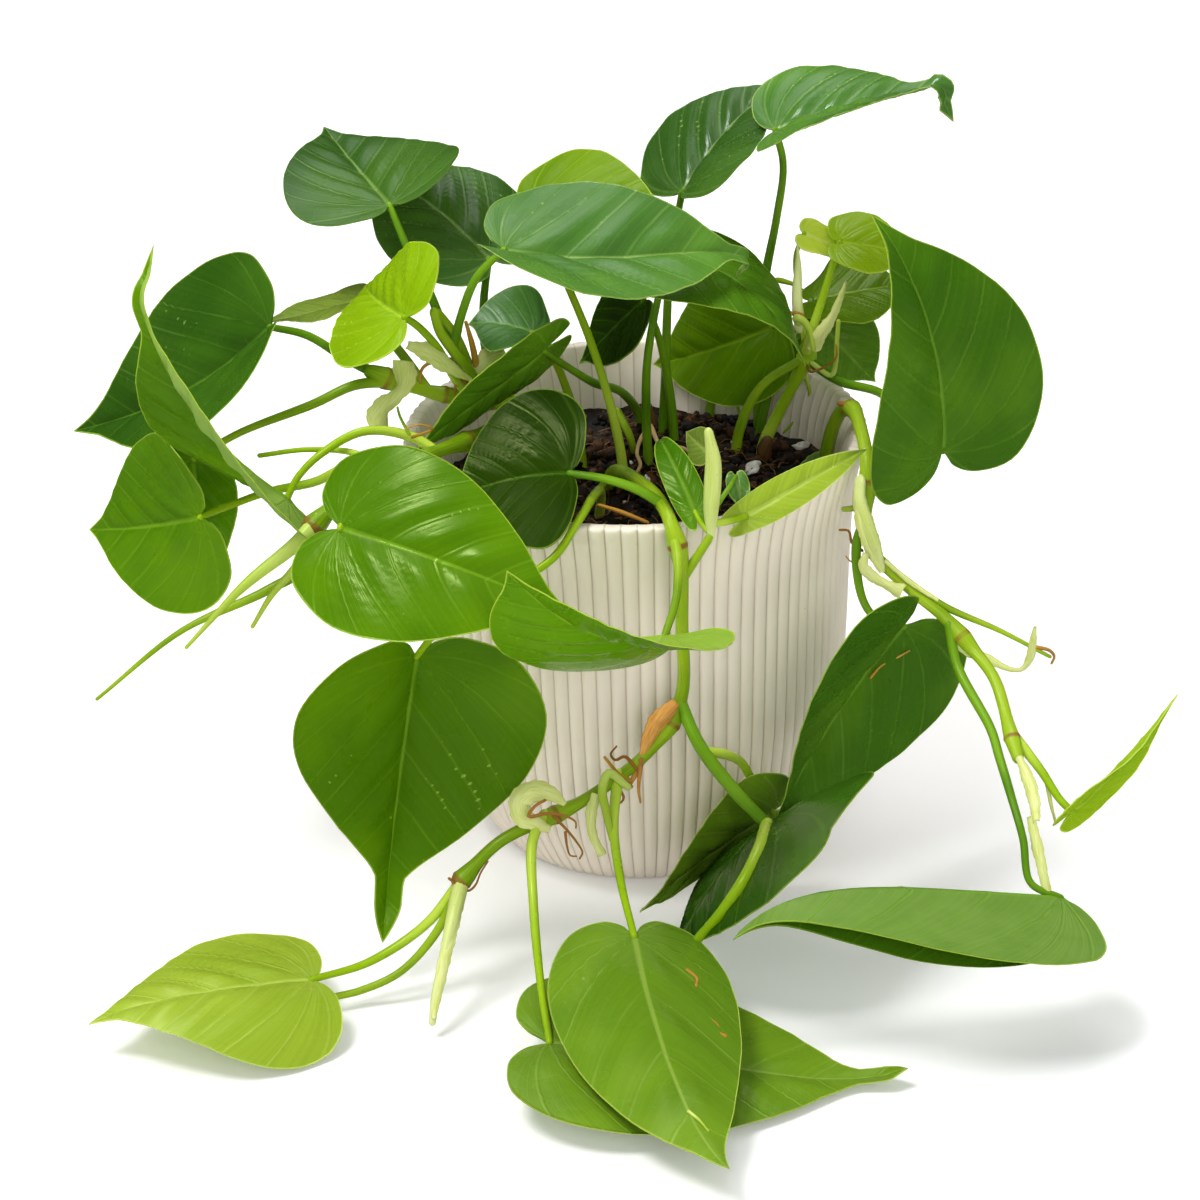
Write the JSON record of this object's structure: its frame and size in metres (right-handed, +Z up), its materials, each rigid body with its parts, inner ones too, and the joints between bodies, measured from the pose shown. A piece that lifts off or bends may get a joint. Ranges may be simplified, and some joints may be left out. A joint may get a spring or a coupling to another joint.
{
  "type": "potted heartleaf philodendron",
  "caption": "Trailing houseplant with heart-shaped leaves on thin vines that spill out of a reeded white pot filled with soil.",
  "frame": {"origin": "centre of the pot's underside, on the surface it stands on", "axes": "+Z up along the pot's axis, -Y towards the plant's front, +X to the right seen from the front"},
  "size_m": [0.3694, 0.347, 0.2619],
  "materials": {
    "pot": "satin",
    "soil": "matte",
    "stem": "satin",
    "leaf": "satin",
    "sheath": "satin",
    "dry_sheath": "matte"
  },
  "bodies": {
    "root": {"pot": "pot", "soil": "soil", "vine_back_right": "stem", "vine_front": "stem", "vine_left": "stem", "vine_left_back": "stem", "vine_left_upper": "stem", "vine_right": "stem", "leaf_behind_middle": "leaf", "leaf_behind_right": "leaf", "leaf_behind_rim": "leaf", "leaf_blue_small": "leaf", "leaf_centre": "leaf", "leaf_centre_lime": "leaf", "leaf_centre_right": "leaf", "leaf_diagonal": "leaf", "leaf_floor_centre": "leaf", "leaf_floor_left": "leaf", "leaf_floor_right": "leaf", "leaf_front_centre": "leaf", "leaf_front_lower": "leaf", "leaf_front_upper": "leaf", "leaf_hanging_left": "leaf", "leaf_hanging_right": "leaf", "leaf_left": "leaf", "leaf_left_crumpled": "leaf", "leaf_left_edge_on": "leaf", "leaf_left_folded": "leaf", "leaf_left_low": "leaf", "leaf_left_narrow": "leaf", "leaf_low_dark": "leaf", "leaf_low_folded": "leaf", "leaf_low_underside": "leaf", "leaf_low_young": "leaf", "leaf_olive": "leaf", "leaf_olive_lime": "leaf", "leaf_pale_small": "leaf", "leaf_right": "leaf", "leaf_rim_dark": "leaf", "leaf_rim_lime": "leaf", "leaf_rim_round": "leaf", "leaf_rim_small": "leaf", "leaf_top_left": "leaf", "leaf_top_left_behind": "leaf", "leaf_top_middle": "leaf", "leaf_top_right": "leaf", "sheath_back_right": "sheath", "sheath_back_right_low": "sheath", "sheath_front": "sheath", "sheath_front_dry": "dry_sheath", "sheath_left_back": "sheath", "sheath_left_hood": "sheath", "sheath_left_middle": "sheath", "sheath_right_low": "sheath", "sheath_right_top": "sheath"}
  },
  "joints": []
}
